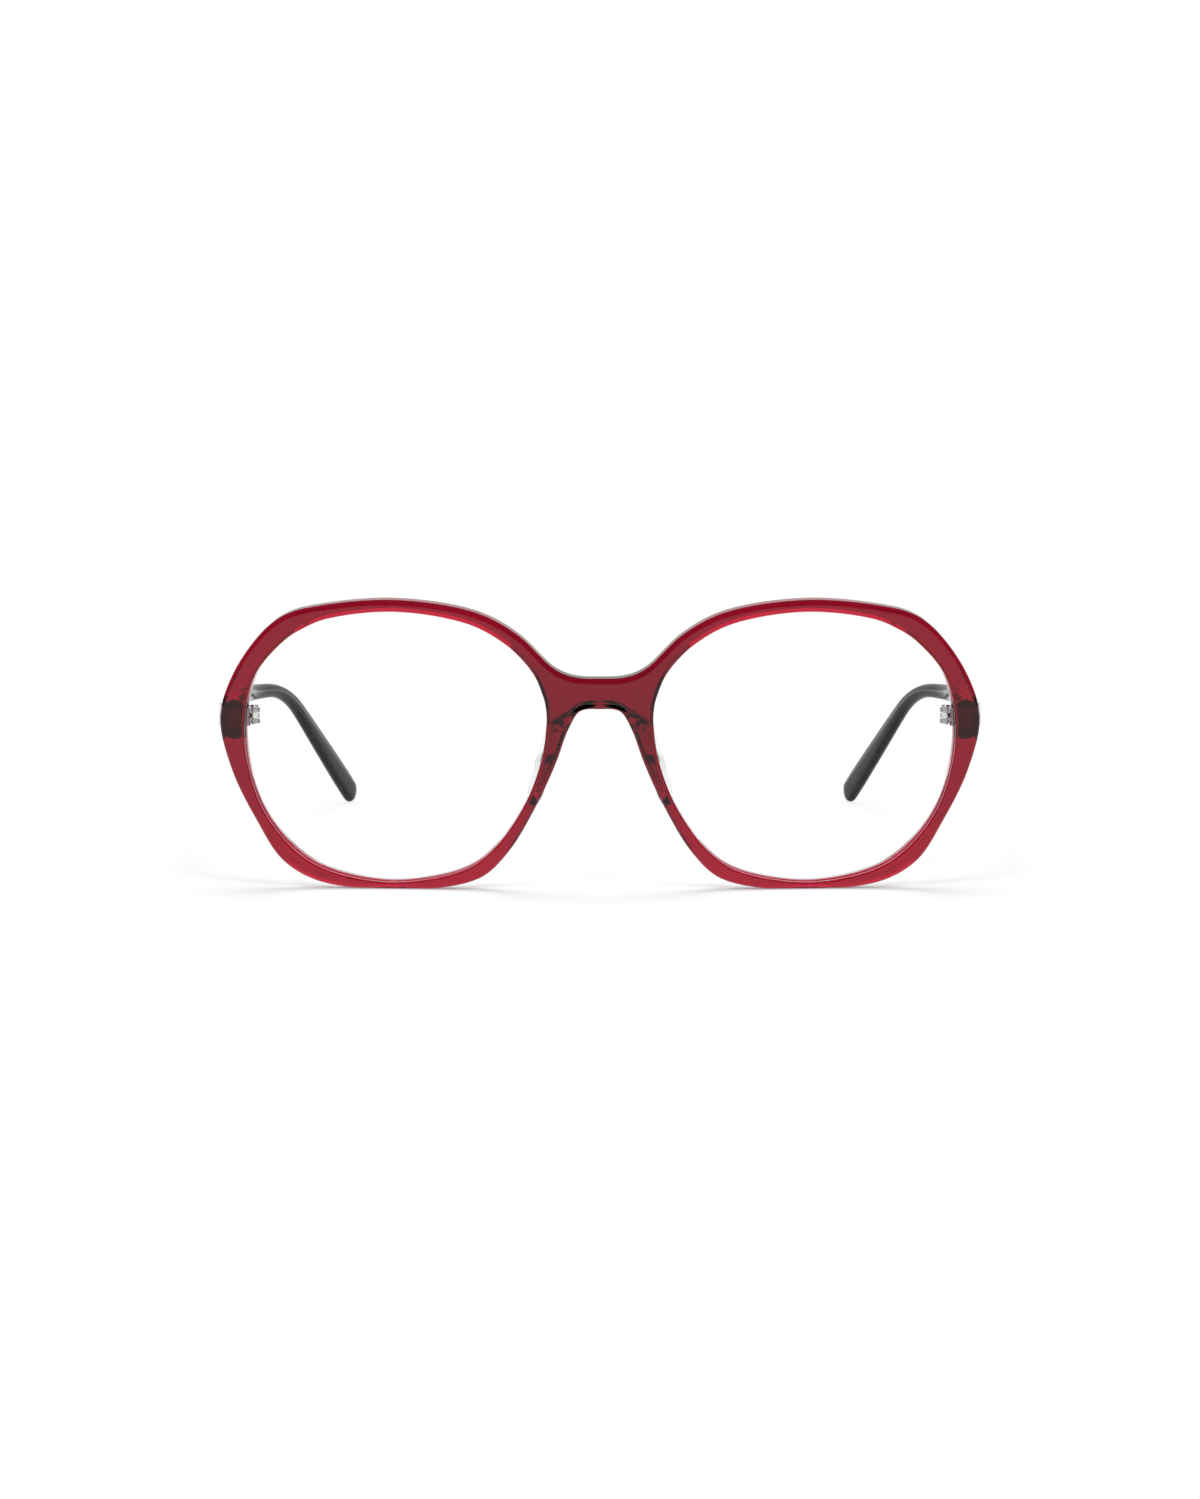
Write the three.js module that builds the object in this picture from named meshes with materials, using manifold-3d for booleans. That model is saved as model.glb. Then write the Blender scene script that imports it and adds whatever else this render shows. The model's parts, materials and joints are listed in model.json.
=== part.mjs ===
// Acetate eyeglasses with thin, softly hexagonal rims and folding temples.
// They stand on the feet of both rims and on the two temple tips.
// Millimetres. X runs across the front, Y from the front back to the tips, Z is up.
// Left and right are the wearer's, so left is +X.

import * as THREE from 'three';
import { mergeVertices } from 'three/addons/utils/BufferGeometryUtils.js';
import Module from 'manifold-3d';

const wasm = await Module();
wasm.setup();

// Lens and bridge sizes, as an optician measures them
const EYE_WIDTH = 55.2;
const EYE_HEIGHT = 50.2;
const BRIDGE_WIDTH = 18.3;
const BRIDGE_TOP_HEIGHT = 12.4; // top of the bridge above the lens centre
const BRIDGE_HEIGHT = 5.6; // top of the bridge to its underside

// Front sheet
const RIM_WIDTH = 2; // nominal width of the rim round the lens
const FOOT_RIM_WIDTH = 1.45; // width of the rim where its foot is ground flat
const BOW_RADIUS = 520; // the front is bent round the face
const COLOUR_THICKNESS = 2.9;
const CRYSTAL_THICKNESS = 1.2;
const GLUE_LINE = 0.1;
const OUTER_ROUND = 1;
const INNER_ROUND = 0.35;
const REAR_CHAMFER = 0.9;
const LAND_CHAMFER = 0.2; // small chamfer where the temple meets the endpiece
const LAND_LENGTH = 5; // across, from the end of the front
const REAR_INNER_CHAMFER = 0.3;

// Lens seat
const LENS_BITE = 0.4; // depth of the lens bevel inside the rim
const LENS_CLEARANCE = 0.2;
const GROOVE_MOUTH = 1.4;
const GROOVE_DEPTH_IN_FRONT = 1.45; // groove centre behind the front face
const LENS_THICKNESS = 1.2; // plain lens, the same thickness all over
const LENS_DOME = 1.6;

// Nose pads
const PAD_HEIGHT = 15.2;
const PAD_WIDTH = 2.3;
const PAD_DEPTH = 5;
const PAD_INSET = 1.1; // pad centre line on the nose side of the lens opening's edge
const PAD_DROP = 3.3; // pad centre below the lens centre
const PAD_FLARE = THREE.MathUtils.degToRad(17); // the pads spread towards the bottom
const PAD_GLUE = 0.1;

// Hinges
const HINGE_HEIGHT = 4.2; // barrel centre above the lens centre
const HINGE_OVERHANG = 0.95; // barrel axis inside the temporal edge of the lens opening
const HINGE_RISE = 1.35; // barrel axis behind the back of the front
const BARREL_RADIUS = 1.1;
const BORE_RADIUS = 0.6;
const MIDDLE_KNUCKLE_HEIGHT = 0.95;
const OUTER_KNUCKLE_HEIGHT = 0.8;
const KNUCKLE_GAP = 0.15;
const FRONT_PLATE_LENGTH = 4.1;
const FRONT_PLATE_HEIGHT = 3.2;
const FRONT_PLATE_THICKNESS = 0.55;
const FRONT_PLATE_START = 0.45; // across, from the barrel axis
const TEMPLE_PLATE_LENGTH = 8.2;
const TEMPLE_PLATE_HEIGHT = 3;
const TEMPLE_PLATE_THICKNESS = 0.5;
const TEMPLE_PLATE_START = 0.35; // along the temple, from the barrel axis
const PLATE_CLEARANCE = 0.25;
const SCREW_RADIUS = 0.4;
const SCREW_HEAD_RADIUS = 0.85;
const SCREW_HEAD_HEIGHT = 0.4;
const SCREW_HEAD_SEAT = 0.1;
const SCREW_TAIL = 0.22;
const SCREW_SLOT_WIDTH = 0.24;
const SCREW_SLOT_DEPTH = 0.2;

// Temples. Lengths run along the temple from the hinge axis.
const TEMPLE_LENGTH = 139;
const BUTT_THICKNESS = 3.9;
const NECK_THICKNESS = 2.2;
const TIP_THICKNESS = 2;
const BUTT_HEIGHT = 7.2;
const NECK_HEIGHT = 2.6;
const TIP_HEIGHT = 4.7;
const TEMPLE_DROP = 0.45; // temple centre line below the barrel centre
const TEMPLE_SIDE_GAP = 0.25; // barrel to the inner face of the temple
const BUTT_GAP = 0.35; // temple butt to the back of the endpiece
const PANTOSCOPIC_ANGLE = THREE.MathUtils.degToRad(7.2);
const SPLAY_ANGLE = THREE.MathUtils.degToRad(4.6);
const BOW_START = 10; // the splay is straight up to here
const BOW_CREST = 56; // the temple runs straight back here
const TOE_IN_START = 74;
const TOE_IN_LENGTH = 13;
const TOE_IN_ANGLE = THREE.MathUtils.degToRad(20.9);
const NECK_PLACE = 93;
const EAR_BEND_START = 89.8; // from here the temple drops behind the ear
const EAR_BEND_RADIUS = 28;
const EAR_BEND_ANGLE = THREE.MathUtils.degToRad(34.5);

// Core wire and its channel
const WIRE_RADIUS = 0.5;
const CHANNEL_CLEARANCE = 0.3;
const WIRE_START = 3;
const WIRE_END_MARGIN = 10; // wire end to the temple tip
const WIRE_OFFSET = 0.3; // outward from the temple centre line

// Plain plate on the outside of each temple
const PLAQUE_START = 3;
const PLAQUE_LENGTH = 13;
const PLAQUE_HEIGHT = 4;
const PLAQUE_THICKNESS = 0.75;
const PLAQUE_EDGE_ROUND = 0.2;
const PLAQUE_GLUE = 0.1;

// How far a cutter runs past what it cuts
const OVERRUN = 2;

// Smoothness of the shapes, in counts
const STEPS_PER_SPAN = 3;
const ROUND_STEPS = 3;
const BARREL_SIDES = 20;
const WIRE_SIDES = 8;
const CORNER_POINTS = 3;
const SHANK_STEPS = 9;
const TOE_IN_STEPS = 6;
const EAR_BEND_STEPS = 7;
const TIP_STEPS = 5;
const PLAQUE_ARC_STEPS = 6;
const TRACE_STEPS = 556;
const LEAN_HALVINGS = 40;

// Points closer than this are one point
const WELD = 0.0001;

// Sizes that follow from the ones above
const frontThickness = COLOUR_THICKNESS + GLUE_LINE + CRYSTAL_THICKNESS;
const crystalStart = COLOUR_THICKNESS + GLUE_LINE;
const grooveDepth = LENS_BITE + LENS_CLEARANCE;
const lensCentre = (EYE_WIDTH + BRIDGE_WIDTH) / 2;
const openingHalfWidth = EYE_WIDTH / 2 - LENS_BITE;
const openingHalfHeight = EYE_HEIGHT / 2 - LENS_BITE;
const outerHalfWidth = openingHalfWidth + RIM_WIDTH;
const outerHalfHeight = openingHalfHeight + RIM_WIDTH;
const footLevel = -(openingHalfHeight + FOOT_RIM_WIDTH);
const bridgeUnder = BRIDGE_TOP_HEIGHT - BRIDGE_HEIGHT;
const stackHalf = MIDDLE_KNUCKLE_HEIGHT / 2 + KNUCKLE_GAP + OUTER_KNUCKLE_HEIGHT;

// Edge of the lens opening, from the top of the bridge over the brow, round the cheek side and back.
// Shares of the opening's half width and half height, from the lens centre.
const openingShares = [
  [-0.97, 0.395], [-0.925, 0.515], [-0.845, 0.635], [-0.715, 0.765], [-0.485, 0.9], [0, 0.985],
  [0.45, 0.925], [0.6, 0.855], [0.73, 0.76], [0.925, 0.5], [0.995, 0.16], [0.97, -0.195],
  [0.865, -0.515], [0.675, -0.775], [0.475, -0.915], [0.14, -1], [-0.135, -0.995], [-0.475, -0.9],
  [-0.665, -0.735], [-0.85, -0.435], [-0.95, -0.16], [-0.985, 0.02], [-0.995, 0.12], [-1, 0.215],
  [-0.99, 0.32],
];

// Outer edge of one half, point for point beside the opening's. The bridge's own points are shares of
// half the bridge width across and of the bridge height up, from its top line and from its underside.
const bridgeTopShares = [[0, 0], [0.515, 0.05]];
const rimShares = [
  [-0.98, 0.53], [-0.755, 0.76], [-0.495, 0.91], [0.01, 0.99], [0.485, 0.94], [0.665, 0.885],
  [0.8, 0.78], [0.995, 0.485], [1.085, 0.175], [1.015, -0.185], [0.865, -0.525], [0.705, -0.795],
  [0.5, -0.93], [0.135, -0.99], [-0.125, -0.99], [-0.515, -0.905], [-0.69, -0.73], [-0.87, -0.4],
  [-0.99, -0.11],
];
const bridgeUnderShares = [[0.615, -0.655], [0.385, -0.07], [0, 0]];

// Cross-section of a nose pad seen from above, as shares of its width and depth
const padShares = [
  [-0.5, 0], [0.5, 0], [0.95, 0.45], [1, 0.8], [0.75, 1], [0.3, 0.95], [-0.15, 0.6], [-0.45, 0.25],
];
const padHeightShares = [-1, -0.9, -0.7, -0.4, 0, 0.4, 0.7, 0.9, 1];
const PAD_END_SHARE = 0.97;

const OUTER_ROUND_LIMIT_SHARE = 0.65; // a thin rim rounds over no more than this share of its width
const TEMPLE_CORNER_SHARE = 0.42; // corner radius as a share of the temple's thickness
const LENS_RING_SHARES = [1, 0.62];
const tipRoundShares = [0, 0.35, 0.65, 0.88, 1];
const TIP_END_SHARE = 0.3; // the tip ends in a small flat of this share

const materials = {
  burgundy: new THREE.MeshStandardMaterial({ color: 0x8f2f3b, roughness: 0.12, metalness: 0 }),
  crystal: new THREE.MeshStandardMaterial({ color: 0xdfe4e6, roughness: 0.1, metalness: 0 }),
  lens: new THREE.MeshStandardMaterial({ color: 0xf4f8f8, roughness: 0.03, metalness: 0 }),
  pad: new THREE.MeshStandardMaterial({ color: 0xe6eaea, roughness: 0.15, metalness: 0 }),
  black: new THREE.MeshStandardMaterial({ color: 0x0c0d0d, roughness: 0.15, metalness: 0 }),
  steel: new THREE.MeshStandardMaterial({ color: 0xc9ccce, roughness: 0.25, metalness: 1 }),
};

// Makes a closed mesh's geometry from its points and triangles, with its faces turned outward
function closedGeometry(points, triangles) {
  const geometry = new THREE.BufferGeometry();
  geometry.setAttribute('position', new THREE.Float32BufferAttribute(points.flatMap((p) => p.toArray()), 3));
  geometry.setIndex(triangles.flat());
  const merged = mergeVertices(geometry, WELD);
  return signedVolume(merged) < 0 ? turnedInsideOut(merged) : merged;
}

function signedVolume(geometry) {
  const position = geometry.getAttribute('position');
  const index = geometry.getIndex();
  const [a, b, c] = [new THREE.Vector3(), new THREE.Vector3(), new THREE.Vector3()];
  let sum = 0;
  for (let i = 0; i < index.count; i += 3) {
    a.fromBufferAttribute(position, index.getX(i));
    b.fromBufferAttribute(position, index.getX(i + 1));
    c.fromBufferAttribute(position, index.getX(i + 2));
    sum += a.dot(b.cross(c)) / 6;
  }
  return sum;
}

function turnedInsideOut(geometry) {
  const turned = geometry.clone();
  const old = geometry.getIndex().array;
  const flipped = [];
  for (let i = 0; i < old.length; i += 3) {
    flipped.push(old[i], old[i + 2], old[i + 1]);
  }
  turned.setIndex(flipped);
  return turned;
}

// The same piece for the other side of the face
function mirrored(geometry) {
  const copy = geometry.clone();
  copy.applyMatrix4(new THREE.Matrix4().makeScale(-1, 1, 1));
  return turnedInsideOut(copy);
}

// Joining and cutting
function toSolid(geometry, matrix = new THREE.Matrix4()) {
  const bare = new THREE.BufferGeometry();
  bare.setAttribute('position', geometry.getAttribute('position').clone());
  if (geometry.getIndex()) {
    bare.setIndex(geometry.getIndex().clone());
  }
  bare.applyMatrix4(matrix);
  const merged = mergeVertices(bare, WELD);
  return new wasm.Manifold(new wasm.Mesh({
    numProp: 3,
    vertProperties: new Float32Array(merged.getAttribute('position').array),
    triVerts: new Uint32Array(merged.getIndex().array),
  }));
}

function toGeometry(solid) {
  const mesh = solid.getMesh();
  const geometry = new THREE.BufferGeometry();
  geometry.setAttribute('position', new THREE.BufferAttribute(new Float32Array(mesh.vertProperties), 3));
  geometry.setIndex(new THREE.BufferAttribute(new Uint32Array(mesh.triVerts), 1));
  return geometry;
}

function cut(geometry, cutters) {
  return toGeometry(cutters.reduce((solid, cutter) => solid.subtract(cutter), toSolid(geometry)));
}

// A box from its lowest to its highest corner
function boxBetween(low, high) {
  const size = high.map((value, axis) => value - low[axis]);
  const middle = high.map((value, axis) => (value + low[axis]) / 2);
  return new THREE.BoxGeometry(...size).translate(...middle);
}

// A cylinder on the Z axis between two heights
function barrel(radius, low, high) {
  const cylinder = new THREE.CylinderGeometry(radius, radius, high - low, BARREL_SIDES);
  return cylinder.rotateX(Math.PI / 2).translate(0, 0, (low + high) / 2);
}

// A skin over a row of sections with the same count of points, with flat ends or closed into a ring
function loft(sections, closedRing) {
  const count = sections[0].length;
  const points = sections.flat();
  const triangles = [];
  const spans = closedRing ? sections.length : sections.length - 1;
  for (let s = 0; s < spans; s += 1) {
    const here = s * count;
    const there = ((s + 1) % sections.length) * count;
    for (let i = 0; i < count; i += 1) {
      const j = (i + 1) % count;
      triangles.push([here + i, there + i, there + j], [here + i, there + j, here + j]);
    }
  }
  if (!closedRing) {
    const last = (sections.length - 1) * count;
    for (let i = 1; i < count - 1; i += 1) {
      triangles.push([0, i, i + 1], [last, last + i + 1, last + i]);
    }
  }
  return closedGeometry(points, triangles);
}

// Bends the flat front: across and up on the sheet, and depth behind its front face
function onFront(across, up, depth) {
  const angle = across / BOW_RADIUS;
  const radius = BOW_RADIUS - depth;
  return new THREE.Vector3(radius * Math.sin(angle), BOW_RADIUS - radius * Math.cos(angle), up);
}

// A frame that stands on the bent front, with its Y pointing into the depth
function frontFrame(across, up, depth) {
  const place = onFront(across, up, depth);
  return new THREE.Matrix4().makeRotationZ(across / BOW_RADIUS).setPosition(place);
}

const flat = (x, y) => new THREE.Vector3(x, y, 0);

// The two edges of one half of the front, as a ring of stations round the lens. Each station has a point
// on the lens opening, one on the outer edge, and the directions from them into the material.
function frontStations() {
  const opening = openingShares.map(([x, y]) => flat(lensCentre + x * openingHalfWidth, y * openingHalfHeight));
  const bridgeHalf = BRIDGE_WIDTH / 2;
  const outer = [
    ...bridgeTopShares.map(([x, y]) => flat(x * bridgeHalf, BRIDGE_TOP_HEIGHT + y * BRIDGE_HEIGHT)),
    ...rimShares.map(([x, y]) => flat(lensCentre + x * outerHalfWidth, y * outerHalfHeight)),
    ...bridgeUnderShares.map(([x, y]) => flat(x * bridgeHalf, bridgeUnder + y * BRIDGE_HEIGHT)),
  ];
  const mirror = (p) => flat(-p.x, p.y);
  const openingCurve = new THREE.CatmullRomCurve3(opening, true, 'centripetal');
  const outerSpans = outer.length - 1;
  const outerCurve = new THREE.CatmullRomCurve3(
    [mirror(outer[1]), ...outer, mirror(outer[outerSpans - 1])], false, 'centripetal');

  const stations = [];
  const count = opening.length * STEPS_PER_SPAN;
  for (let i = 0; i < count; i += 1) {
    const span = i / STEPS_PER_SPAN;
    const inner = openingCurve.getPoint(i / count);
    const innerTangent = openingCurve.getTangent(i / count);
    const station = { inner, innerNormal: flat(-innerTangent.y, innerTangent.x), rounded: 1 };
    if (span <= outerSpans) {
      const share = (span + 1) / (outerSpans + 2);
      const tangent = outerCurve.getTangent(share);
      station.outer = outerCurve.getPoint(share);
      station.outer.y = Math.max(station.outer.y, footLevel);
      station.outerNormal = flat(tangent.y, -tangent.x).normalize();
    } else {
      const share = (span - outerSpans) / (opening.length - outerSpans);
      const low = bridgeUnder + OUTER_ROUND;
      const high = BRIDGE_TOP_HEIGHT - OUTER_ROUND;
      station.outer = flat(0, THREE.MathUtils.lerp(low, high, share));
      station.outerNormal = flat(1, 0);
      station.rounded = 0;
    }
    if (span === 0 || span === outerSpans) {
      station.outer.x = 0;
      station.outerNormal = flat(0, span === 0 ? -1 : 1);
    }
    station.width = station.inner.distanceTo(station.outer);
    stations.push(station);
  }
  return stations;
}

const stations = frontStations();

// Points of a section: on the opening's edge or the outer edge, set into the material, at a depth
function atInner(station, inset, depth) {
  const place = station.inner.clone().addScaledVector(station.innerNormal, inset);
  return onFront(place.x, place.y, depth);
}

function atOuter(station, inset, depth) {
  const place = station.outer.clone().addScaledVector(station.outerNormal, inset * station.rounded);
  return onFront(place.x, place.y, depth);
}

// Both halves of the front in one piece: the cut faces on the centre plane go, the other half is mirrored
function bothHalves(half) {
  const position = half.getAttribute('position');
  const index = half.getIndex();
  const cornerAt = (i) => new THREE.Vector3().fromBufferAttribute(position, index.getX(i));
  const kept = [];
  for (let i = 0; i < index.count; i += 3) {
    const corners = [cornerAt(i), cornerAt(i + 1), cornerAt(i + 2)];
    if (corners.some((p) => Math.abs(p.x) > WELD)) {
      kept.push(corners);
    }
  }
  const twins = kept.map(([a, b, c]) => [a, c, b].map((p) => new THREE.Vector3(-p.x, p.y, p.z)));
  const points = [...kept, ...twins].flat();
  return closedGeometry(points, [...points.keys()]);
}

// Burgundy sheet: a rounded outer edge, a small round at the opening and the V groove for the lens
function frontAcetate() {
  const sections = stations.map((station) => {
    const round = Math.min(OUTER_ROUND, station.width * OUTER_ROUND_LIMIT_SHARE);
    const outerArc = [];
    for (let i = 0; i <= ROUND_STEPS; i += 1) {
      const angle = (i / ROUND_STEPS) * Math.PI / 2;
      outerArc.push(atOuter(station, round * (1 - Math.sin(angle)), round * (1 - Math.cos(angle))));
    }
    const half = INNER_ROUND * (1 - Math.SQRT1_2);
    return [
      atInner(station, 0, INNER_ROUND),
      atInner(station, half, half),
      atInner(station, INNER_ROUND, 0),
      ...outerArc,
      atOuter(station, 0, COLOUR_THICKNESS),
      atInner(station, 0, COLOUR_THICKNESS),
      atInner(station, 0, GROOVE_DEPTH_IN_FRONT + GROOVE_MOUTH / 2),
      atInner(station, grooveDepth, GROOVE_DEPTH_IN_FRONT),
      atInner(station, 0, GROOVE_DEPTH_IN_FRONT - GROOVE_MOUTH / 2),
    ];
  });
  return bothHalves(loft(sections, true));
}

// Crystal sheet behind it: chamfered all round, but nearly square where the temples meet it
function rearLaminate() {
  const end = lensCentre + outerHalfWidth * Math.max(...rimShares.map(([x]) => x));
  const sections = stations.map((station) => {
    const landShare = THREE.MathUtils.smoothstep(station.outer.x, end - 2 * LAND_LENGTH, end - LAND_LENGTH);
    const chamfer = THREE.MathUtils.lerp(REAR_CHAMFER, LAND_CHAMFER, landShare);
    return [
      atInner(station, 0, crystalStart),
      atInner(station, 0, frontThickness - REAR_INNER_CHAMFER),
      atInner(station, REAR_INNER_CHAMFER, frontThickness),
      atOuter(station, chamfer, frontThickness),
      atOuter(station, 0, frontThickness - chamfer),
      atOuter(station, 0, crystalStart),
    ];
  });
  const pocket = boxBetween(
    [-OVERRUN, -HINGE_RISE - FRONT_PLATE_THICKNESS - PLATE_CLEARANCE, -FRONT_PLATE_HEIGHT / 2 - PLATE_CLEARANCE],
    [
      FRONT_PLATE_START + FRONT_PLATE_LENGTH + PLATE_CLEARANCE,
      OVERRUN,
      FRONT_PLATE_HEIGHT / 2 + PLATE_CLEARANCE,
    ]);
  const cutters = [
    toSolid(pocket, hingePlace),
    toSolid(mirrored(toGeometry(toSolid(pocket, hingePlace)))),
  ];
  return cut(bothHalves(loft(sections, true)), cutters);
}

// Lens: two domed faces and a V bevel all round
function lens() {
  const half = LENS_THICKNESS / 2;
  const shareFromCentre = (station, share, inset, depth) => {
    const edge = station.inner.clone().addScaledVector(station.innerNormal, inset);
    const place = flat(lensCentre, 0).lerp(edge, share);
    return onFront(place.x, place.y, depth);
  };
  const depthAt = (share, side) => GROOVE_DEPTH_IN_FRONT + side * half - LENS_DOME * (1 - share * share);
  const rings = [
    ...[...LENS_RING_SHARES].reverse().map((share) => [share, -1, -LENS_CLEARANCE]),
    [1, 0, LENS_BITE],
    ...LENS_RING_SHARES.map((share) => [share, 1, -LENS_CLEARANCE]),
  ];
  const sections = rings.map(([share, side, inset]) => stations.map((station) => {
    const depth = side === 0 ? GROOVE_DEPTH_IN_FRONT : depthAt(share, side);
    return shareFromCentre(station, share, inset, depth);
  }));
  const count = stations.length;
  const points = sections.flat();
  const triangles = [];
  for (let s = 0; s < sections.length - 1; s += 1) {
    for (let i = 0; i < count; i += 1) {
      const j = (i + 1) % count;
      const [here, there] = [s * count, (s + 1) * count];
      triangles.push([here + i, there + i, there + j], [here + i, there + j, here + j]);
    }
  }
  const front = points.push(onFront(lensCentre, 0, depthAt(0, -1))) - 1;
  const rear = points.push(onFront(lensCentre, 0, depthAt(0, 1))) - 1;
  const last = (sections.length - 1) * count;
  for (let i = 0; i < count; i += 1) {
    const j = (i + 1) % count;
    triangles.push([front, i, j], [rear, last + j, last + i]);
  }
  return closedGeometry(points, triangles);
}

// Nose pad: a teardrop wing on the back of the nasal rim, fullest in the middle
function nosePad() {
  const nasalEdge = lensCentre - openingHalfWidth;
  const sections = padHeightShares.map((height) => {
    const up = height * PAD_HEIGHT / 2 - PAD_DROP;
    const across = nasalEdge - PAD_INSET - up * Math.tan(PAD_FLARE);
    const swell = Math.sqrt(1 - (PAD_END_SHARE * height) ** 2);
    const width = PAD_WIDTH * (1 + swell) / 2;
    return padShares.map(([x, y]) => onFront(
      across + x * width,
      up,
      frontThickness + PAD_GLUE + y * PAD_DEPTH * swell));
  });
  return loft(sections, false);
}

// The hinge axis stands behind the endpiece. hingePlace is square to the front there.
const hingeAcross = lensCentre + openingHalfWidth - HINGE_OVERHANG;
const hingePlace = frontFrame(hingeAcross, HINGE_HEIGHT, frontThickness + HINGE_RISE);
const hingePoint = new THREE.Vector3().setFromMatrixPosition(hingePlace);

// The temple's own frame: Z on the hinge axis, Y along the shank, X outward. It tilts with the
// pantoscopic angle and turns out with the splay.
const templeRotation = new THREE.Euler(-PANTOSCOPIC_ANGLE, 0, -SPLAY_ANGLE, 'XYZ');
const templePlace = new THREE.Matrix4().makeRotationFromEuler(templeRotation).setPosition(hingePoint);
const frontToTemple = templePlace.clone().invert();

const middleKnuckle = [-MIDDLE_KNUCKLE_HEIGHT / 2, MIDDLE_KNUCKLE_HEIGHT / 2];
const upperKnuckle = [stackHalf - OUTER_KNUCKLE_HEIGHT, stackHalf];
const lowerKnuckle = [-stackHalf, -stackHalf + OUTER_KNUCKLE_HEIGHT];

// Leaf on the front: a plate sunk in the crystal sheet and two outer knuckles on feet.
// Built square to the front at the hinge, with the knuckles tilted like the axis.
function frontLeaf() {
  const tilt = hingePlace.clone().setPosition(0, 0, 0).invert().multiply(
    new THREE.Matrix4().makeRotationX(-PANTOSCOPIC_ANGLE));
  const plate = boxBetween(
    [FRONT_PLATE_START, -HINGE_RISE - FRONT_PLATE_THICKNESS, -FRONT_PLATE_HEIGHT / 2],
    [FRONT_PLATE_START + FRONT_PLATE_LENGTH, -HINGE_RISE, FRONT_PLATE_HEIGHT / 2]);
  let solid = toSolid(plate);
  for (const [low, high] of [upperKnuckle, lowerKnuckle]) {
    const foot = boxBetween([FRONT_PLATE_START, -HINGE_RISE - FRONT_PLATE_THICKNESS / 2, low], [BARREL_RADIUS, 0, high]);
    solid = solid.add(toSolid(foot, tilt));
    solid = solid.add(toSolid(barrel(BARREL_RADIUS, low, high), tilt));
  }
  const bore = barrel(BORE_RADIUS, -stackHalf - OVERRUN, stackHalf + OVERRUN);
  return toGeometry(solid.subtract(toSolid(bore, tilt)));
}

// Leaf on the temple: a plate sunk in its inner face and the middle knuckle
function templeLeaf() {
  const face = BARREL_RADIUS + TEMPLE_SIDE_GAP;
  const [low, high] = middleKnuckle;
  const plate = boxBetween(
    [face, TEMPLE_PLATE_START, -TEMPLE_PLATE_HEIGHT / 2],
    [face + TEMPLE_PLATE_THICKNESS, TEMPLE_PLATE_START + TEMPLE_PLATE_LENGTH, TEMPLE_PLATE_HEIGHT / 2]);
  const foot = boxBetween([0, TEMPLE_PLATE_START, low], [face + TEMPLE_PLATE_THICKNESS / 2, BARREL_RADIUS, high]);
  const bore = barrel(BORE_RADIUS, low - OVERRUN, high + OVERRUN);
  const solid = toSolid(plate).add(toSolid(foot)).add(toSolid(barrel(BARREL_RADIUS, low, high)));
  return toGeometry(solid.subtract(toSolid(bore)));
}

// Hinge screw: a shaft through all three knuckles with a slotted head on top
function hingeScrew() {
  const seat = stackHalf + SCREW_HEAD_SEAT;
  const top = seat + SCREW_HEAD_HEIGHT;
  const edge = SCREW_HEAD_HEIGHT / 2;
  const profile = [
    [0, -stackHalf - SCREW_TAIL],
    [SCREW_RADIUS, -stackHalf - SCREW_TAIL],
    [SCREW_RADIUS, seat],
    [SCREW_HEAD_RADIUS, seat],
    [SCREW_HEAD_RADIUS, top - edge],
    [SCREW_HEAD_RADIUS - edge, top],
    [0, top],
  ];
  const turned = new THREE.LatheGeometry(profile.map(([x, y]) => new THREE.Vector2(x, y)), BARREL_SIDES);
  turned.rotateX(Math.PI / 2);
  const slot = boxBetween(
    [-SCREW_SLOT_WIDTH / 2, -SCREW_HEAD_RADIUS - OVERRUN, top - SCREW_SLOT_DEPTH],
    [SCREW_SLOT_WIDTH / 2, SCREW_HEAD_RADIUS + OVERRUN, top + OVERRUN]);
  return toGeometry(toSolid(turned).subtract(toSolid(slot)));
}

// How far the temple has turned outward and downward at a length along it
function templeHeading(along) {
  const bowed = THREE.MathUtils.clamp(along, BOW_START, TOE_IN_START) - BOW_CREST;
  const bow = -SPLAY_ANGLE * bowed / (BOW_CREST - BOW_START);
  const toeShare = THREE.MathUtils.clamp((along - TOE_IN_START) / TOE_IN_LENGTH, 0, 1);
  const out = THREE.MathUtils.lerp(bow, -TOE_IN_ANGLE, toeShare) - SPLAY_ANGLE;
  const down = THREE.MathUtils.clamp((along - EAR_BEND_START) / EAR_BEND_RADIUS, 0, EAR_BEND_ANGLE);
  return { out, down };
}

// Places along the temple's centre line, in its own frame
const templeTrace = (() => {
  const step = TEMPLE_LENGTH / TRACE_STEPS;
  const middle = BARREL_RADIUS + TEMPLE_SIDE_GAP + BUTT_THICKNESS / 2;
  const trace = [new THREE.Vector3(middle, 0, -TEMPLE_DROP)];
  for (let i = 0; i < TRACE_STEPS; i += 1) {
    const { out, down } = templeHeading((i + 0.5) * step);
    const direction = new THREE.Vector3(
      Math.sin(out) * Math.cos(down),
      Math.cos(out) * Math.cos(down),
      -Math.sin(down));
    trace.push(trace[i].clone().addScaledVector(direction, step));
  }
  return trace;
})();

// Centre, outward and upward directions of the temple at a length along it
function templeFrame(along) {
  const place = THREE.MathUtils.clamp(along / TEMPLE_LENGTH, 0, 1) * TRACE_STEPS;
  const first = Math.min(Math.floor(place), TRACE_STEPS - 1);
  const centre = templeTrace[first].clone().lerp(templeTrace[first + 1], place - first);
  const { out, down } = templeHeading(along);
  if (along < 0) {
    centre.y += along;
  }
  const side = new THREE.Vector3(Math.cos(out), -Math.sin(out), 0);
  const forward = new THREE.Vector3(
    Math.sin(out) * Math.cos(down),
    Math.cos(out) * Math.cos(down),
    -Math.sin(down));
  const up = side.clone().cross(forward);
  return { centre, side, up, forward };
}

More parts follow.
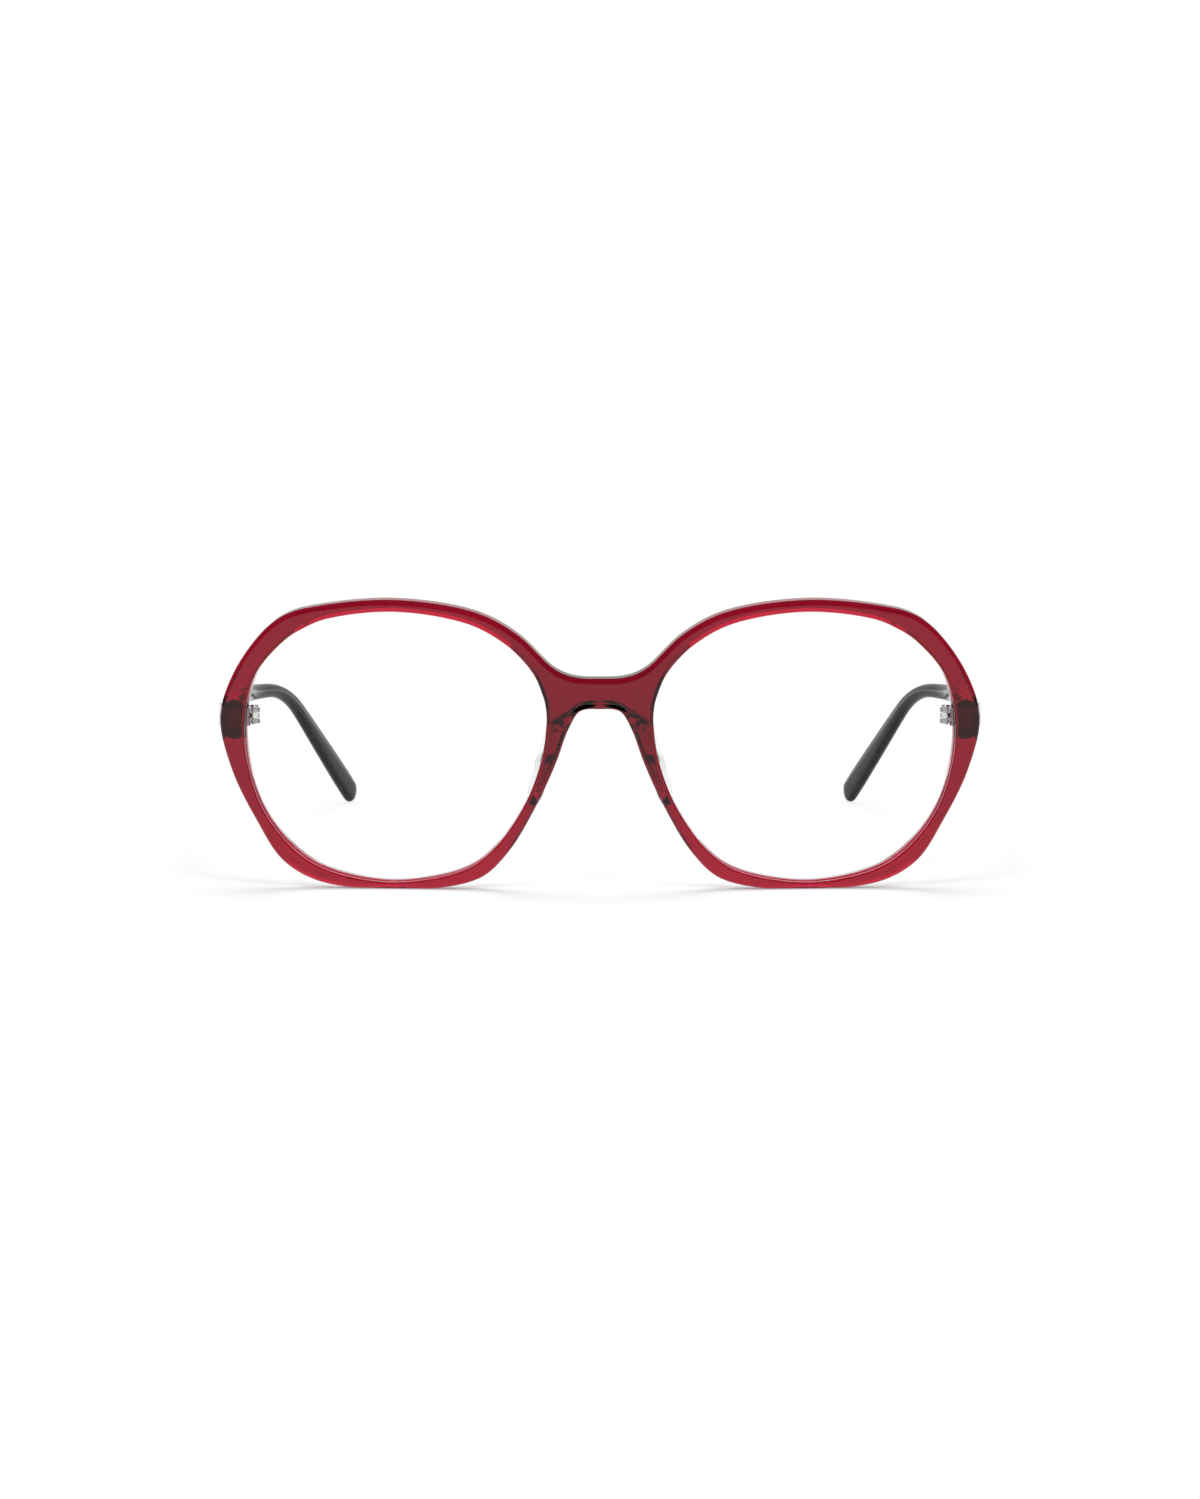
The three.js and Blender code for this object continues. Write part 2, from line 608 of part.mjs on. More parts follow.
// Thickness and height of the temple at a length along it
function templeSize(along) {
  const before = THREE.MathUtils.clamp(along / NECK_PLACE, 0, 1);
  const after = THREE.MathUtils.smoothstep(along, NECK_PLACE, TEMPLE_LENGTH - TIP_HEIGHT / 2);
  const thickness = THREE.MathUtils.lerp(BUTT_THICKNESS, NECK_THICKNESS, before)
    + (TIP_THICKNESS - NECK_THICKNESS) * after;
  const height = THREE.MathUtils.lerp(BUTT_HEIGHT, NECK_HEIGHT, before) + (TIP_HEIGHT - NECK_HEIGHT) * after;
  return { thickness, height };
}

// A rounded rectangle across the temple, drawn in towards the round tip
function templeSection(along) {
  const { centre, side, up } = templeFrame(along);
  const { thickness, height } = templeSize(along);
  const fromTip = Math.max(TEMPLE_LENGTH - along, 0);
  const roundLength = TIP_HEIGHT / 2;
  const drawn = fromTip < roundLength ? Math.sqrt(1 - (1 - fromTip / roundLength) ** 2) : 1;
  const halfHeight = height / 2 * Math.max(drawn, TIP_END_SHARE);
  const halfThickness = thickness / 2 * Math.max(Math.sqrt(drawn), TIP_END_SHARE);
  const corner = Math.min(thickness * TEMPLE_CORNER_SHARE, halfHeight, halfThickness);
  const points = [];
  for (let quarter = 0; quarter < 4; quarter += 1) {
    const signX = quarter === 0 || quarter === 3 ? 1 : -1;
    const signY = quarter < 2 ? 1 : -1;
    for (let i = 0; i < CORNER_POINTS; i += 1) {
      const angle = (quarter + i / (CORNER_POINTS - 1)) * Math.PI / 2;
      const x = signX * (halfThickness - corner) + corner * Math.cos(angle);
      const y = signY * (halfHeight - corner) + corner * Math.sin(angle);
      points.push(centre.clone().addScaledVector(side, x).addScaledVector(up, y));
    }
  }
  return points;
}

// Lengths along the temple where its shape is set: wide steps on the shank, close ones in the bends
function templeStops(start, end) {
  const bendEnd = EAR_BEND_START + EAR_BEND_RADIUS * EAR_BEND_ANGLE;
  const tipStart = TEMPLE_LENGTH - TIP_HEIGHT / 2;
  const stretches = [
    [0, TOE_IN_START, SHANK_STEPS],
    [TOE_IN_START, EAR_BEND_START, TOE_IN_STEPS],
    [EAR_BEND_START, bendEnd, EAR_BEND_STEPS],
    [bendEnd, tipStart, TIP_STEPS],
  ];
  const stops = stretches.flatMap(([low, high, steps]) => (
    Array.from({ length: steps }, (_, i) => THREE.MathUtils.lerp(low, high, i / steps))));
  const inside = stops.filter((along) => along > start && along < Math.min(end, tipStart));
  const round = end < TEMPLE_LENGTH ? [] : tipRoundShares.map((share) => (
    THREE.MathUtils.lerp(tipStart, TEMPLE_LENGTH, share)));
  return [start, ...inside, ...(round.length ? round : [end])];
}

// A round rod along the temple, used for the core wire and for its channel
function rodAlongTemple(radius, start, end) {
  const offset = (along) => WIRE_OFFSET * (1 - THREE.MathUtils.clamp(along / NECK_PLACE, 0, 1));
  const sections = templeStops(start, end).map((along) => {
    const { centre, side, up } = templeFrame(along);
    return Array.from({ length: WIRE_SIDES }, (_, i) => {
      const angle = (i / WIRE_SIDES) * 2 * Math.PI;
      return centre.clone()
        .addScaledVector(side, offset(along) + radius * Math.cos(angle))
        .addScaledVector(up, radius * Math.sin(angle));
    });
  });
  return loft(sections, false);
}

const wireEnd = TEMPLE_LENGTH - WIRE_END_MARGIN;

// Temple: lofted arm, mitred to the endpiece, with the leaf pocket and the channel for the core wire
function temple() {
  const arm = loft(templeStops(-OVERRUN, TEMPLE_LENGTH).map(templeSection), false);
  const face = BARREL_RADIUS + TEMPLE_SIDE_GAP;
  const reach = BUTT_HEIGHT;
  const mitre = boxBetween([-reach, -reach, -reach], [reach, -HINGE_RISE + BUTT_GAP, reach]);
  const pocket = boxBetween(
    [face - OVERRUN, -OVERRUN, -TEMPLE_PLATE_HEIGHT / 2 - PLATE_CLEARANCE],
    [
      face + TEMPLE_PLATE_THICKNESS + PLATE_CLEARANCE,
      TEMPLE_PLATE_START + TEMPLE_PLATE_LENGTH + PLATE_CLEARANCE,
      TEMPLE_PLATE_HEIGHT / 2 + PLATE_CLEARANCE,
    ]);
  const channel = rodAlongTemple(WIRE_RADIUS + CHANNEL_CLEARANCE, -2 * OVERRUN, wireEnd + CHANNEL_CLEARANCE);
  return cut(arm, [
    toSolid(mitre, frontToTemple.clone().multiply(hingePlace)),
    toSolid(pocket),
    toSolid(channel),
  ]);
}

// Plain plate with rounded ends, built flat and placed on the outer face of the temple
function plaque() {
  const radius = PLAQUE_HEIGHT / 2 - PLAQUE_EDGE_ROUND;
  const straight = PLAQUE_LENGTH / 2 - PLAQUE_HEIGHT / 2;
  const outline = new THREE.Shape();
  outline.absarc(straight, 0, radius, -Math.PI / 2, Math.PI / 2, false);
  outline.absarc(-straight, 0, radius, Math.PI / 2, 3 * Math.PI / 2, false);
  outline.closePath();
  const plate = new THREE.ExtrudeGeometry(outline, {
    depth: PLAQUE_THICKNESS - 2 * PLAQUE_EDGE_ROUND,
    curveSegments: PLAQUE_ARC_STEPS,
    bevelEnabled: true,
    bevelThickness: PLAQUE_EDGE_ROUND,
    bevelSize: PLAQUE_EDGE_ROUND,
    bevelSegments: 1,
  });
  plate.translate(0, 0, PLAQUE_EDGE_ROUND);
  return toGeometry(toSolid(plate));
}

function plaquePlace() {
  const along = PLAQUE_START + PLAQUE_LENGTH / 2;
  const { centre, side, up, forward } = templeFrame(along);
  const place = centre.addScaledVector(side, templeSize(along).thickness / 2 + PLAQUE_GLUE);
  return new THREE.Matrix4().makeBasis(forward, up, side).setPosition(place);
}

// The parts of both sides, in one shared frame with the front upright
function addPiece(parent, name, geometry, material) {
  const mesh = new THREE.Mesh(geometry, material);
  mesh.name = name;
  parent.add(mesh);
  return mesh;
}

const upright = new THREE.Group();
addPiece(upright, 'front_acetate', frontAcetate(), materials.burgundy);
addPiece(upright, 'rear_laminate', rearLaminate(), materials.crystal);

const shapes = {
  lens: lens(),
  nosePad: nosePad(),
  frontLeaf: frontLeaf(),
  hingeScrew: hingeScrew(),
  temple: temple(),
  coreWire: rodAlongTemple(WIRE_RADIUS, WIRE_START, wireEnd),
  templeLeaf: templeLeaf(),
  plaque: plaque(),
};

for (const side of [{ name: 'left', sign: 1 }, { name: 'right', sign: -1 }]) {
  const hand = (geometry) => (side.sign > 0 ? geometry : mirrored(geometry));

  addPiece(upright, `lens_${side.name}`, hand(shapes.lens), materials.lens);
  addPiece(upright, `nose_pad_${side.name}`, hand(shapes.nosePad), materials.pad);

  const frontHinge = new THREE.Group();
  frontHinge.position.set(side.sign * hingePoint.x, hingePoint.y, hingePoint.z);
  frontHinge.rotation.z = side.sign * hingeAcross / BOW_RADIUS;
  addPiece(frontHinge, `hinge_front_leaf_${side.name}`, hand(shapes.frontLeaf), materials.steel);

  const arm = new THREE.Group();
  arm.position.copy(frontHinge.position);
  arm.rotation.set(templeRotation.x, templeRotation.y, side.sign * templeRotation.z, 'XYZ');
  addPiece(arm, `hinge_screw_${side.name}`, hand(shapes.hingeScrew), materials.steel);
  addPiece(arm, `hinge_temple_leaf_${side.name}`, hand(shapes.templeLeaf), materials.steel);
  addPiece(arm, `temple_${side.name}`, hand(shapes.temple), materials.black);
  addPiece(arm, `core_wire_${side.name}`, hand(shapes.coreWire), materials.steel);

  const plaquePiece = addPiece(arm, `temple_plaque_${side.name}`, hand(shapes.plaque), materials.steel);
  plaquePlace().decompose(plaquePiece.position, plaquePiece.quaternion, plaquePiece.scale);
  if (side.sign < 0) {
    plaquePiece.position.x *= -1;
    plaquePiece.quaternion.set(
      plaquePiece.quaternion.x, -plaquePiece.quaternion.y, -plaquePiece.quaternion.z, plaquePiece.quaternion.w);
  }
  upright.add(frontHinge, arm);
}

// The glasses lean until the feet of the rims and the temple tips stand on one level
function pointsOf(name) {
  const mesh = upright.getObjectByName(name);
  mesh.updateWorldMatrix(true, false);
  const position = mesh.geometry.getAttribute('position');
  return Array.from({ length: position.count }, (_, i) => (
    new THREE.Vector3().fromBufferAttribute(position, i).applyMatrix4(mesh.matrixWorld)));
}

function standingLean() {
  const front = pointsOf('front_acetate');
  const arm = pointsOf('temple_left');
  const lowest = (points, lean) => (
    Math.min(...points.map((p) => p.y * Math.sin(lean) + p.z * Math.cos(lean))));
  let [low, high] = [0, PANTOSCOPIC_ANGLE + EAR_BEND_ANGLE];
  for (let i = 0; i < LEAN_HALVINGS; i += 1) {
    const lean = (low + high) / 2;
    if (lowest(arm, lean) < lowest(front, lean)) {
      low = lean;
    } else {
      high = lean;
    }
  }
  return (low + high) / 2;
}

const glasses = new THREE.Group();
upright.rotation.x = standingLean();
glasses.add(upright);

// The origin is under the middle of the glasses, on the level that they stand on
const extent = new THREE.Box3().setFromObject(glasses, true);
const middle = extent.getCenter(new THREE.Vector3());
upright.position.set(-middle.x, -middle.y, -extent.min.z);

export default glasses;
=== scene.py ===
import json
import math
from collections import namedtuple

import bmesh
import bpy
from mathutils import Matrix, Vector


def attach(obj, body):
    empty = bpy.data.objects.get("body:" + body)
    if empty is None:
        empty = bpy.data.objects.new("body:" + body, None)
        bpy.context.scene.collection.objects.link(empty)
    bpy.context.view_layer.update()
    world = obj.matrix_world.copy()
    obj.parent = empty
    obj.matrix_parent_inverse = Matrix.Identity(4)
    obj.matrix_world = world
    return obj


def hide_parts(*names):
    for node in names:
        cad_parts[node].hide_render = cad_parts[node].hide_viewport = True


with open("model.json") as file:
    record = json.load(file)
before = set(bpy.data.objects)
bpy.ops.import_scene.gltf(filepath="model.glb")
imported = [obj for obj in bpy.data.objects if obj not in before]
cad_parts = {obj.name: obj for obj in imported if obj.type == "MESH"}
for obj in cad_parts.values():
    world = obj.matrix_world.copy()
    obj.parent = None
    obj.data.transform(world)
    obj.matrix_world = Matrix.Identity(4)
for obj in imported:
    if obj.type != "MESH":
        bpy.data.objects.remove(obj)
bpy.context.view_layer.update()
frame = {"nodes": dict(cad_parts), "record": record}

# Camera, in metres and degrees
CAMERA_PLACE = Vector((0, -1.2677, 0.1604))
CAMERA_PITCH = 6.41
FOCAL_LENGTH = 162.33  # millimetres
SENSOR_SIZE = 36  # millimetres, along the picture's long side

# Stage, in metres
FLOOR_RADIUS = 6
FLOOR_SIDES = 64
BACKDROP = {"y": 1.7, "half_width": 2.6, "height": 1.7}
PAPER = (0.92, 0.92, 0.92, 1)
FLOOR_SHADE = 0.8  # share of the floor's white that comes from the lamps, round the glasses
FLOOR_FADE = (0.16, 0.5)  # distances between which that share fades to nothing
SHADE_THROUGH_PLASTIC = 0.25  # how much of that share shows in gloss and through plastic

# Brightness of the room, with white as 1
WHITE = (1, 1, 1, 1)
FLOOR_IN_GLOSS = (0.62, 1.7)  # what gloss sees of the floor in front, and of the floor behind
FLOOR_TURN = (0.12, 0.4)  # places along y between which the one turns into the other
BACKDROP_IN_GLOSS = 0.8
ROOM_LIGHT = 0.5  # soft light from all round
DARK_ROOM = 0.06  # what gloss sees of the room above and in front
ROOM_THROUGH_PLASTIC = 0.8  # what clear plastic shows of it
LAMPS = {
    "behind": {"place": (0, 0.45, 1.15), "size": (0.8, 0.8), "power": 7.5, "seen": "diffuse"},
    "left": {"place": (0.5, -1.15, 1.2), "size": (0.5, 0.5), "power": 6, "seen": "diffuse"},
    "right": {"place": (-0.5, -1.15, 1.2), "size": (0.5, 0.5), "power": 6, "seen": "diffuse"},
    "ceiling": {"place": (0, 0.1, 1.25), "size": (2.4, 2.4), "power": 22, "seen": "transmission"},
}

# Meshes: lengths in metres, angles in degrees
MILLIMETRES_PER_METRE = 1000
WELD = 0.000002
FINE_WELD = 0.0000002
CREASE_ANGLE = 50  # copies of solids keep the edges that are sharper than this
QUAD_ANGLE = 30  # triangles that turn less than this are joined in pairs
QUAD_SHAPE = 60
SHARP_ANGLES = {"front": 35, "rear": 50, "lens": 25, "pad": 50}
SMOOTHING_ROUNDS = {"hinge": 1, "core": 0, "temple": 1}  # by the first word of a node's name
STATION_STEPS = 8  # stations from one point of an outline to the next
OUTER_ROUND_STEPS = 8
INNER_ROUND_STEPS = 5
LENS_RINGS = 12
PAD_STEPS = 5
PAD_LEVELS = 36

# The front, in millimetres. It is bent and leaning; across and up run on its flat sheet.
FRONT_PLACE = Vector((0, -67.7443, 25.9137))
FRONT_LEAN = math.radians(4.426)
BOW_RADIUS = 520
LENS_CENTRE = 36.75
OPENING_HALF = (27.2, 24.7)
OUTER_HALF = (29.2, 26.7)
FOOT_LEVEL = -26.15
BRIDGE_HALF = 9.15
BRIDGE_TOP = 12.4
BRIDGE_HEIGHT = 5.6

# Shares of those half sizes, from the lens centre: from the bridge over the brow and round
OPENING_SHARES = (
    (-0.97, 0.395), (-0.925, 0.515), (-0.845, 0.635), (-0.715, 0.765), (-0.485, 0.9), (0, 0.985),
    (0.45, 0.925), (0.6, 0.855), (0.73, 0.76), (0.925, 0.5), (0.995, 0.16), (0.97, -0.195),
    (0.865, -0.515), (0.675, -0.775), (0.475, -0.915), (0.14, -1), (-0.135, -0.995), (-0.475, -0.9),
    (-0.665, -0.735), (-0.85, -0.435), (-0.95, -0.16), (-0.985, 0.02), (-0.995, 0.12), (-1, 0.215),
    (-0.99, 0.32),
)
RIM_SHARES = (
    (-0.98, 0.53), (-0.755, 0.76), (-0.495, 0.91), (0.01, 0.99), (0.485, 0.94), (0.665, 0.885),
    (0.8, 0.78), (0.995, 0.485), (1.085, 0.175), (1.015, -0.185), (0.865, -0.525), (0.705, -0.795),
    (0.5, -0.93), (0.135, -0.99), (-0.125, -0.99), (-0.515, -0.905), (-0.69, -0.73), (-0.87, -0.4),
    (-0.99, -0.11),
)

# Shares of the bridge's half width and height, from the middle of its top
BRIDGE_TOP_SHARES = ((0, 0), (0.515, 0.05))
BRIDGE_UNDER_SHARES = ((0.615, -1.655), (0.385, -1.07), (0, -1))

# Section of the rim, in millimetres, with depths behind the front face
COLOUR_BACK = 2.9
BOND = 0.05  # the crystal sheet reaches this far into the burgundy, without air between
CRYSTAL_BACK = 4.2
OUTER_ROUND = 1.0
ROUND_LIMIT_SHARE = 0.65  # of the rim's width
INNER_ROUND = 0.35
REAR_CHAMFER = 0.9
LAND_CHAMFER = 0.2
LAND = (58.4, 63.4)  # across, where the rear chamfer runs out towards the endpiece
REAR_INNER_CHAMFER = 0.3
EDGE_BREAK = 0.12  # polish takes the crystal's corners down this far
EDGE_BREAK_LIMIT_SHARE = 1 / 4  # of the rear chamfer
CHAMFER_BREAK = 0.26  # and the long corner behind the outer edge this far
CHAMFER_BREAK_LIMIT_SHARE = 1 / 3  # of the rear chamfer
CHAMFER_BREAK_SHARES = ((1, 0), (1 / 6, 1 / 5), (-1 / 2, 1 / 2))  # inward, and towards the front
SUPPORT = 0.06  # a row of points close to each corner keeps the flats flat
GROOVE_DEPTH = 0.6
GROOVE_HALF_MOUTH = 0.7

# Lens, in millimetres
LENS_RIDGE_DEPTH = 1.45
LENS_THICKNESS = 1.2
LENS_DOME = 1.6
LENS_BITE = 0.4  # the ridge reaches this far past the opening into the groove
LENS_CLEARANCE = 0.03  # between the lens's edge and the wall of the opening

# Nose pads, in millimetres, seen from above as shares of their width and depth
PAD_SHARES = (
    (-0.5, 0), (0.5, 0), (0.95, 0.45), (1, 0.8), (0.75, 1), (0.3, 0.95), (-0.15, 0.6), (-0.45, 0.25),
)
PAD_HEIGHT = 15.2
PAD_WIDTH = 2.3
PAD_DEPTH = 5
PAD_INSET = 1.1
PAD_DROP = 3.3
PAD_FLARE = math.radians(17)
PAD_START = 4.3  # depth behind the front face
PAD_END_SHARE = 0.97

# Surfaces: noise scales are per metre, depths and places in metres
ACRYLIC_IOR = 1.49
COATED_LENS_IOR = 1.06  # a coating against reflections takes most of the lens's gloss away
NOISE_ENDS = (0.3, 0.7)  # values that noise seldom goes beyond
TINT_SCALE = 260
CLEAR_GLOSS_SCALE = 1400
WAVE_SCALE = 160
WAVE_DEPTH = 0.00002
SOLID_GLOSS_SCALE = 900
BRIDGE_PAINTED_SHADE = {"reach": (0.008, 0.022), "results": (0.78, 1)}  # painted shade: darker near the middle plane
FOOT_PAINTED_LIGHT = {"reach": (0.004, 0.02), "results": (1.35, 1)}  # painted light: lighter near the floor

record = frame["record"]
slots = {part["node"]: part["material_slot"] for part in record["subparts"]}
bodies = {
    node: body
    for body, members in record["behaviour"]["bodies"].items()
    for node in members
}

# One place round a rim: points on the opening and on the outer edge, the directions from them
# into the rim, whether the outer one is a real edge, and the distance between the points.
Station = namedtuple("Station", "inner inner_normal outer outer_normal rounded width")


# Pieces in their places


def fitted(mesh, node):
    """Puts a piece's own mesh in the place of its CAD node."""
    piece = bpy.data.objects.new(node + "_finish", mesh)
    bpy.context.scene.collection.objects.link(piece)
    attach(piece, bodies[node])
    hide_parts(node)
    return piece


def smooth_copy(node, rounds):
    """A copy of a CAD piece whose facets become curves while its real edges stay."""
    mesh = frame["nodes"][node].data.copy()
    if "custom_normal" in mesh.attributes:
        mesh.attributes.remove(mesh.attributes["custom_normal"])
    mesh.materials.clear()
    shape = bmesh.new()
    shape.from_mesh(mesh)
    bmesh.ops.remove_doubles(shape, verts=shape.verts, dist=WELD)
    bmesh.ops.join_triangles(
        shape,
        faces=shape.faces,
        angle_face_threshold=math.radians(QUAD_ANGLE),
        angle_shape_threshold=math.radians(QUAD_SHAPE),
    )
    creases = shape.edges.layers.float.new("crease_edge")
    for edge in shape.edges:
        if is_sharp(edge, CREASE_ANGLE):
            edge[creases] = 1
            edge.smooth = False
    for face in shape.faces:
        face.smooth = True
    shape.to_mesh(mesh)
    shape.free()
    piece = fitted(mesh, node)
    if rounds:
        rounding = piece.modifiers.new("rounding", "SUBSURF")
        rounding.levels = rounds
        rounding.render_levels = rounds
    return piece


def finished_mesh(name, places, faces):
    """A smooth-shaded closed mesh with its faces outward and its sharp edges kept."""
    mesh = bpy.data.meshes.new(name + "_finish")
    mesh.from_pydata([tuple(p) for p in places], [], faces)
    shape = bmesh.new()
    shape.from_mesh(mesh)
    bmesh.ops.remove_doubles(shape, verts=shape.verts, dist=FINE_WELD)
    loose = [vert for vert in shape.verts if not vert.link_faces]
    bmesh.ops.delete(shape, geom=loose, context="VERTS")
    bmesh.ops.recalc_face_normals(shape, faces=shape.faces)
    for face in shape.faces:
        face.smooth = True
    for edge in shape.edges:
        if is_sharp(edge, SHARP_ANGLES[name]):
            edge.smooth = False
    shape.to_mesh(mesh)
    shape.free()
    return mesh


def is_sharp(edge, degrees):
    """Whether the two faces at an edge turn away from each other by more than an angle."""
    return len(edge.link_faces) == 2 and edge.calc_face_angle() > math.radians(degrees)


# Points and curves of the front


def bent(across, up, depth):
    """A place on the bent and leaning front, in metres."""
    angle = across / BOW_RADIUS
    radius = BOW_RADIUS - depth
    y = BOW_RADIUS - radius * math.cos(angle)
    place = Vector((
        radius * math.sin(angle),
        y * math.cos(FRONT_LEAN) - up * math.sin(FRONT_LEAN),
        y * math.sin(FRONT_LEAN) + up * math.cos(FRONT_LEAN),
    ))
    return (place + FRONT_PLACE) / MILLIMETRES_PER_METRE


def mirrored(place):
    """The same place on the other side of the middle plane."""
    return Vector((-place[0], *place[1:]))


def sided(places, side):
    """Places made for the left, or mirrored for the right."""
    return places if side > 0 else [mirrored(p) for p in places]


def scaled(shares, centre, half):
    """Points given as shares of two half sizes about a centre."""
    return [Vector((centre[0] + x * half[0], centre[1] + y * half[1])) for x, y in shares]


def curve_points(a, b, c, d, steps):
    """Points from b to just before c, on an even curve through a, b, c and d."""
    spans = [math.sqrt((q - p).length) for p, q in ((a, b), (b, c), (c, d))]
    start = (b - a) / spans[0] - (c - a) / (spans[0] + spans[1]) + (c - b) / spans[1]
    end = (c - b) / spans[1] - (d - b) / (spans[1] + spans[2]) + (d - c) / spans[2]
    start, end = start * spans[1], end * spans[1]
    points = []
    for k in range(steps):
        t = k / steps
        points.append(
            b * (2 * t**3 - 3 * t**2 + 1)
            + start * (t**3 - 2 * t**2 + t)
            + c * (3 * t**2 - 2 * t**3)
            + end * (t**3 - t**2)
        )
    return points


def ring_through(points, steps):
    """Points along a closed curve through the given ones."""
    points = [Vector(p) for p in points]
    count = len(points)
    return [
        p
        for i in range(count)
        for p in curve_points(*(points[(i + k) % count] for k in (-1, 0, 1, 2)), steps)
    ]


def quarter(start, end, steps):
    """Points that round the corner at 0, 0 from one point beside it to another."""
    points = []
    for k in range(steps + 1):
        turn = math.pi / 2 * k / steps
        start_share = 1 - math.sin(turn)
        end_share = 1 - math.cos(turn)
        points.append(tuple(a * start_share + b * end_share for a, b in zip(start, end)))
    return points


def eased(value, start, end):
    """A share from 0 to 1 that rises softly as a value goes from start to end."""
    share = min(max((value - start) / (end - start), 0), 1)
    return share * share * (3 - 2 * share)


def skinned(rings, closed):
    """All points of some equal rings, and the faces between each ring and the next."""
    count = len(rings[0])
    faces = []
    for a in range(len(rings) if closed else len(rings) - 1):
        b = (a + 1) % len(rings)
        for i in range(count):
            j = (i + 1) % count
            faces.append((a * count + i, b * count + i, b * count + j, a * count + j))
    return [p for ring in rings for p in ring], faces


# The two sheets of the front


def rim_stations():
    """The stations round one lens, with the last ones closing the ring through the bridge."""
    opening = ring_through(scaled(OPENING_SHARES, (LENS_CENTRE, 0), OPENING_HALF), STATION_STEPS)
    bridge = (0, BRIDGE_TOP), (BRIDGE_HALF, BRIDGE_HEIGHT)
    outer = [
        *scaled(BRIDGE_TOP_SHARES, *bridge),
        *scaled(RIM_SHARES, (LENS_CENTRE, 0), OUTER_HALF),
        *scaled(BRIDGE_UNDER_SHARES, *bridge),
    ]
    whole = [mirrored(outer[1]), *outer, mirrored(outer[-2])]
    edge = [
        p
        for i in range(1, len(whole) - 2)
        for p in curve_points(*whole[i - 1:i + 3], STATION_STEPS)
    ] + [outer[-1]]
    low = BRIDGE_TOP - BRIDGE_HEIGHT + OUTER_ROUND
    high = BRIDGE_TOP - OUTER_ROUND
    closing = len(opening) - len(edge)
    stations = []
    for i, inner in enumerate(opening):
        along = opening[(i + 1) % len(opening)] - opening[i - 1]
        inner_normal = Vector((-along.y, along.x)).normalized()
        if i < len(edge):
            place = Vector((edge[i].x, max(edge[i].y, FOOT_LEVEL)))
            way = edge[min(i + 1, len(edge) - 1)] - edge[max(i - 1, 0)]
            normal = Vector((way.y, -way.x)).normalized()
            if i in (0, len(edge) - 1):
                normal = Vector((0, -1 if i == 0 else 1))
        else:
            share = (i - len(edge) + 1) / (closing + 1)
            place = Vector((0, low + (high - low) * share))
            normal = Vector((1, 0))
        rounded = 1 if i < len(edge) else 0
        width = (inner - place).length
        stations.append(Station(inner, inner_normal, place, normal, rounded, width))
    return stations


def colour_section(station):
    """Burgundy sheet: rounded outside, a small round at the opening, a V groove for the lens."""
    outer_round = min(OUTER_ROUND, station.width * ROUND_LIMIT_SHARE)
    inner_arc = quarter((0, INNER_ROUND), (INNER_ROUND, 0), INNER_ROUND_STEPS)
    outer_arc = quarter((outer_round, 0), (0, outer_round), OUTER_ROUND_STEPS)
    return [
        *(("in", *p) for p in inner_arc),
        ("in", INNER_ROUND + SUPPORT, 0),
        ("out", outer_round + SUPPORT, 0),
        *(("out", *p) for p in outer_arc),
        ("out", 0, outer_round + SUPPORT),
        ("out", 0, COLOUR_BACK - SUPPORT),
        ("out", 0, COLOUR_BACK),
        ("out", SUPPORT, COLOUR_BACK),
        ("in", SUPPORT, COLOUR_BACK),
        ("in", 0, COLOUR_BACK),
        ("in", 0, COLOUR_BACK - SUPPORT),
        ("in", 0, LENS_RIDGE_DEPTH + GROOVE_HALF_MOUTH),
        ("in", GROOVE_DEPTH, LENS_RIDGE_DEPTH),
        ("in", 0, LENS_RIDGE_DEPTH - GROOVE_HALF_MOUTH),
        ("in", 0, INNER_ROUND + SUPPORT),
    ]


def crystal_section(station):
    """Crystal sheet: chamfered behind, nearly square where the temples meet it."""
    land_share = eased(station.outer.x, *LAND)
    chamfer = REAR_CHAMFER + (LAND_CHAMFER - REAR_CHAMFER) * land_share
    ease = min(EDGE_BREAK, chamfer * EDGE_BREAK_LIMIT_SHARE)
    wide = min(CHAMFER_BREAK, chamfer * CHAMFER_BREAK_LIMIT_SHARE)
    front, back, cut = COLOUR_BACK, CRYSTAL_BACK, REAR_INNER_CHAMFER
    return [
        ("in", 0, front),
        ("in", 0, front + SUPPORT),
        ("in", 0, back - cut - ease),
        ("in", ease / 2, back - cut + ease / 2),
        ("in", cut - ease / 2, back - ease / 2),
        ("in", cut + ease, back),
        ("in", cut + ease + SUPPORT, back),
        ("out", chamfer + wide + SUPPORT, back),
        *(("out", chamfer + wide * a, back - wide * b) for a, b in CHAMFER_BREAK_SHARES),
        ("out", ease / 2, back - chamfer + ease / 2),
        ("out", 0, back - chamfer - ease),
        ("out", 0, back - chamfer - ease - SUPPORT),
        ("out", 0, front + SUPPORT),
        ("out", 0, front),
        ("out", BOND, front - BOND),
        ("out", BOND + SUPPORT, front - BOND),
        ("in", BOND + SUPPORT, front - BOND),
        ("in", BOND, front - BOND),
    ]


def both_halves(stations, section, name):
    """Skins the sections round one lens, leaves out the middle plane and mirrors the rest."""
    rings = []
    for station in stations:
        ring = []
        for edge, inset, depth in section(station):
            if edge == "in":
                spot = station.inner + station.inner_normal * inset
            else:
                spot = station.outer + station.outer_normal * inset * station.rounded
            ring.append(bent(spot.x, spot.y, depth))
        rings.append(ring)
    places, faces = skinned(rings, closed=True)
    faces = [face for face in faces if any(abs(places[k].x) > WELD for k in face)]
    shift = len(places)
    places += [mirrored(p) for p in places]
    faces += [tuple(k + shift for k in reversed(face)) for face in faces]
    return finished_mesh(name, places, faces)


# Lenses and pads


